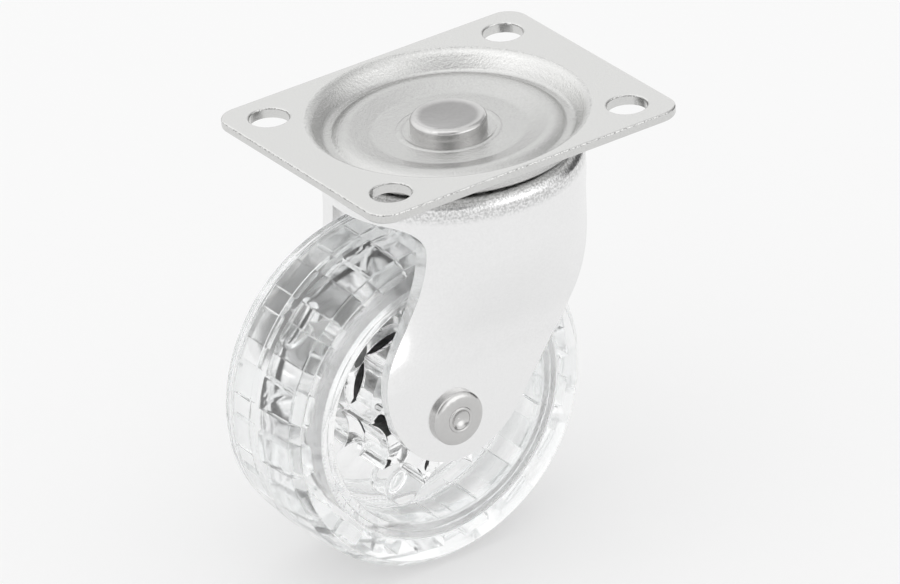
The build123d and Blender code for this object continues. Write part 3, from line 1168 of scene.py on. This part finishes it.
@dataclass
class Studio:
    """A pale floor, soft light and a camera at the photograph's viewing angle.

    Lengths are in metres and angles in degrees.
    """

    azimuth: float = -32.474
    elevation: float = 27.712
    roll: float = -4.301
    distance: float = 2.0015
    lens: float = 374.14
    shift_x: float = -0.0113
    shift_y: float = -0.0163
    clip: tuple[float, float] = (0.05, 50.0)
    target: tuple[float, float, float] = (0.0, 0.0, -0.040)
    bounces: int = 48
    floor_half: float = 4.0
    floor_drop: float = 0.0003
    floor_tone: float = 0.80
    floor_roughness: float = 0.9
    floor_shine: float = 0.2
    cards: tuple[Card, ...] = (Card(-2.0, 0.30, 0.10, 0.15),)
    paper: float = 0.96
    paper_share: float = 0.5
    sky: float = 1.08
    camera_sky: float = 0.93
    sun: float = 0.35
    sun_angle: float = 60.0
    sun_from: tuple[float, float, float] = (-0.45, -0.35, 1.0)
    lobes: tuple[Lobe, ...] = (
        Lobe(-130.0, 38.0, inner=12.0, outer=34.0, amount=-0.72),
        Lobe(8.0, 36.0, inner=8.0, outer=32.0, amount=-0.50),
        Lobe(-12.0, 5.0, inner=5.0, outer=22.0, amount=-0.45),
        Lobe(-70.0, 8.0, inner=12.0, outer=32.0, amount=0.65),
        Lobe(175.0, 38.0, inner=8.0, outer=26.0, amount=0.35),
        Lobe(120.0, 42.0, inner=14.0, outer=42.0, amount=0.25),
        Lobe(75.0, 3.0, inner=5.0, outer=22.0, amount=-0.25),
    )

    def build_camera(self) -> None:
        """Makes the camera and sets it as the scene's own."""
        data = bpy.data.cameras.new("camera")
        data.lens = self.lens
        data.shift_x = self.shift_x
        data.shift_y = self.shift_y
        data.clip_start, data.clip_end = self.clip
        camera = bpy.data.objects.new("camera", data)
        bpy.context.scene.collection.objects.link(camera)
        turn = math.radians(self.azimuth)
        rise = math.radians(self.elevation)
        back = Vector(
            (
                math.sin(turn) * math.cos(rise),
                -math.cos(turn) * math.cos(rise),
                math.sin(rise),
            )
        )
        level_right = Vector((math.cos(turn), math.sin(turn), 0.0))
        level_up = back.cross(level_right)
        roll = math.radians(self.roll)
        right = level_right * math.cos(roll) + level_up * math.sin(roll)
        up = level_up * math.cos(roll) - level_right * math.sin(roll)
        pose = Matrix((right, up, back)).transposed().to_4x4()
        pose.translation = Vector(self.target) + back * self.distance
        camera.matrix_world = pose
        bpy.context.scene.camera = camera

    def build_floor(self, lowest: float) -> None:
        """Makes the floor under the wheel.

        Args:
            lowest: the height of the caster's lowest point, in metres.
        """
        half = self.floor_half
        height = lowest - self.floor_drop
        corners = [(-half, -half), (half, -half), (half, half), (-half, half)]
        mesh = bpy.data.meshes.new("floor")
        mesh.from_pydata([(x, y, height) for x, y in corners], [], [(0, 1, 2, 3)])
        floor = link_object("floor", mesh)
        shine = {"Roughness": self.floor_roughness, "Specular IOR Level": self.floor_shine}
        base = {"Base Color": grey(self.floor_tone)}
        material, tree, shader = new_material("floor_paper", base | shine)
        path = add_node(tree, "ShaderNodeLightPath")
        camera, glossy = path.outputs["Is Camera Ray"], path.outputs["Is Glossy Ray"]
        seen = math_node("MAXIMUM", camera, glossy)
        seen = math_node("MAXIMUM", seen, path.outputs["Is Transmission Ray"])
        paper = add_node(tree, "ShaderNodeEmission")
        fill(paper, {"Color": grey(self.paper)})
        mix = add_node(tree, "ShaderNodeMixShader")
        link(math_node("MULTIPLY", seen, self.paper_share), mix.inputs[0])
        link(shader.outputs[0], mix.inputs[1])
        link(paper.outputs[0], mix.inputs[2])
        link(mix.outputs[0], tree.nodes["Material Output"].inputs["Surface"])
        mesh.materials.append(material)
        floor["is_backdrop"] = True
        for card in self.cards:
            self.build_card(height, card)

    def build_card(self, height: float, card: Card) -> None:
        """Stands a dark card beside the caster, seen only in its reflections.

        Args:
            height: the floor's height, in metres.
            card: the card's place and size.
        """
        turn = math.radians(card.turn)
        middle = Vector((math.cos(turn), math.sin(turn), 0.0)) * card.away
        across = Vector((-math.sin(turn), math.cos(turn), 0.0)) * card.half
        foot = Vector((0.0, 0.0, height + card.lift))
        top = Vector((0.0, 0.0, height + card.height))
        mesh = bpy.data.meshes.new("dark_card")
        left, right = middle - across, middle + across
        mesh.from_pydata([left + foot, right + foot, right + top, left + top], [], [(0, 1, 2, 3)])
        board = link_object("dark_card", mesh)
        for ray in ("camera", "diffuse", "shadow", "transmission"):
            setattr(board, f"visible_{ray}", False)
        looks = {"Base Color": grey(card.tone), "Roughness": card.roughness}
        mesh.materials.append(new_material("dark_paper", looks)[0])
        board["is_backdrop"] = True

    def build_lobe(self, tree: TREE, toward: SOCKET, lobe: Lobe) -> SOCKET:
        """Adds one soft lighter or darker patch of the surroundings.

        Args:
            tree: the world's node tree.
            toward: the direction looked at.
            lobe: the patch.

        Returns:
            What the patch adds to the surroundings' brightness.
        """
        dot = add_node(tree, "ShaderNodeVectorMath", operation="DOT_PRODUCT")
        link(toward, dot.inputs[0])
        dot.inputs[1].default_value = lobe.toward()
        spread = add_node(tree, "ShaderNodeMapRange", interpolation_type="SMOOTHSTEP")
        fill(
            spread,
            {
                "From Min": math.cos(math.radians(lobe.outer)),
                "From Max": math.cos(math.radians(lobe.inner)),
            },
        )
        link(dot.outputs["Value"], spread.inputs["Value"])
        return math_node("MULTIPLY", spread.outputs["Result"], lobe.amount)

    def build_light(self) -> None:
        """Makes the pale surroundings and one broad soft lamp."""
        world = bpy.data.worlds.new("pale_room")
        bpy.context.scene.world = world
        world.use_nodes = True
        tree = world.node_tree
        shade = tree.nodes["Background"]
        fill(shade, {"Strength": 1.0})
        path = add_node(tree, "ShaderNodeLightPath")
        place = add_node(tree, "ShaderNodeTexCoord")
        level = 0.0
        for lobe in self.lobes:
            patch = self.build_lobe(tree, place.outputs["Generated"], lobe)
            level = math_node("ADD", level, patch)
        glossy, through = path.outputs["Is Glossy Ray"], path.outputs["Is Transmission Ray"]
        shiny = math_node("SUBTRACT", glossy, through)
        shiny = math_node("MAXIMUM", shiny, 0.0)
        level = math_node("ADD", math_node("MULTIPLY", level, shiny), self.sky)
        around = add_node(tree, "ShaderNodeCombineColor")
        for part in around.inputs:
            link(level, part)
        mix = add_node(tree, "ShaderNodeMix", data_type="RGBA", clamp_factor=True)
        link(around.outputs["Color"], mix.inputs["A"])
        fill(mix, {"B": grey(self.camera_sky)})
        link(path.outputs["Is Camera Ray"], mix.inputs["Factor"])
        link(mix.outputs["Result"], shade.inputs["Color"])
        data = bpy.data.lights.new("soft_lamp", "SUN")
        data.energy = self.sun
        data.angle = math.radians(self.sun_angle)
        lamp = bpy.data.objects.new("soft_lamp", data)
        bpy.context.scene.collection.objects.link(lamp)
        lamp.rotation_mode = "QUATERNION"
        lamp.rotation_quaternion = Vector(self.sun_from).to_track_quat("Z", "Y")

    def build(self, lowest: float) -> None:
        """Makes the whole studio.

        Args:
            lowest: the height of the caster's lowest point, in metres.
        """
        self.build_camera()
        self.build_floor(lowest)
        self.build_light()
        scene = bpy.context.scene
        scene.view_settings.view_transform = "Standard"
        for kind in ("max", "transmission", "glossy"):
            setattr(scene.cycles, f"{kind}_bounces", self.bounces)
        scene.cycles.diffuse_bounces = self.bounces // 2


def dress(nodes: dict[str, OBJECT], name: str, material: MATERIAL) -> None:
    """Gives a CAD node its material.

    Args:
        nodes: the CAD nodes by name.
        name: the node to dress.
        material: the material it gets.
    """
    mesh = nodes[name].data
    mesh.materials.clear()
    mesh.materials.append(material)
    log.info("dressed %s in %s", name, material.name)


@dataclass
class Finishes:
    """Every finish of the caster, built once."""

    effects: Effects = field(default_factory=Effects)
    plate: SteelFinish = SteelFinish(
        "plate_zinc",
        color=(0.72, 0.72, 0.71),
        roughness=0.14,
        grain=Grain.STRONG,
        scale=3400.0,
        bump=0.004 * MM,
        stretched=(0.0, 29.8 * MM),
        stretched_bump=0.085 * MM,
        sheared=0.6,
        # painted shade darkening the plate's dish round the kingpin
        painted_shade_middle=(28.5 * MM, 0.88),
    )
    fork: SteelFinish = SteelFinish(
        "fork_zinc",
        color=(0.90, 0.90, 0.90),
        roughness=0.17,
        grain=Grain.FAINT,
        scale=1900.0,
        bump=0.004 * MM,
        stretched=(22.0 * MM, 45.0 * MM),
        stretched_bump=0.10 * MM,
        # painted shade on the crown's rounded shoulder
        painted_shade_ring=(26.2 * MM, 30.0 * MM, 0.62),
    )
    rivet: SteelFinish = SteelFinish(
        "rivet_steel",
        color=(0.60, 0.595, 0.59),
        roughness=0.17,
        grain=Grain.FAINT,
        scale=1400.0,
        bump=0.03 * MM,
        dent=0.12 * MM,
        # painted shade darkening the kingpin head's dished middle; the axle rivets lie outside it
        painted_shade_middle=(7.2 * MM, 0.62),
    )
    bearing: SteelFinish = SteelFinish(
        "bearing_steel", color=(0.88, 0.88, 0.88), roughness=0.5, grain=Grain.SMOOTH
    )
    core: ClearFinish = ClearFinish("core_clear", color=(0.997, 1.0, 1.0), ior=1.49, clear=1.0)
    tyre: ClearFinish = ClearFinish(
        "tyre_clear", color=(0.99, 0.994, 0.994), ior=1.50, clear=0.99, roughness=0.07
    )
    lug: ClearFinish = ClearFinish("lug_clear", color=(0.985, 0.99, 0.99), ior=1.06, clear=0.97)

    def build(self) -> dict[str, MATERIAL]:
        """Makes every material.

        Returns:
            The materials by their slot names.
        """
        steel = (self.plate, self.fork, self.rivet, self.bearing)
        finishes = (*steel, self.core, self.tyre, self.lug)
        return {finish.name: finish.build(self.effects) for finish in finishes}


def main() -> None:
    """Builds the studio, then dresses the caster's pieces in order."""
    logging.basicConfig(level=logging.INFO, format="%(message)s")
    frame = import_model()
    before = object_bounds()
    studio = Studio()
    studio.build(before[0].z)
    materials = Finishes().build()
    slots = {entry["node"]: entry["material_slot"] for entry in frame["record"]["subparts"]}
    for name in sorted(frame["nodes"]):
        dress(frame["nodes"], name, materials[slots[name]])
    CoinedRing().build(materials["plate_zinc"])
    Wheel().build(materials)


if __name__ == "__main__":
    main()
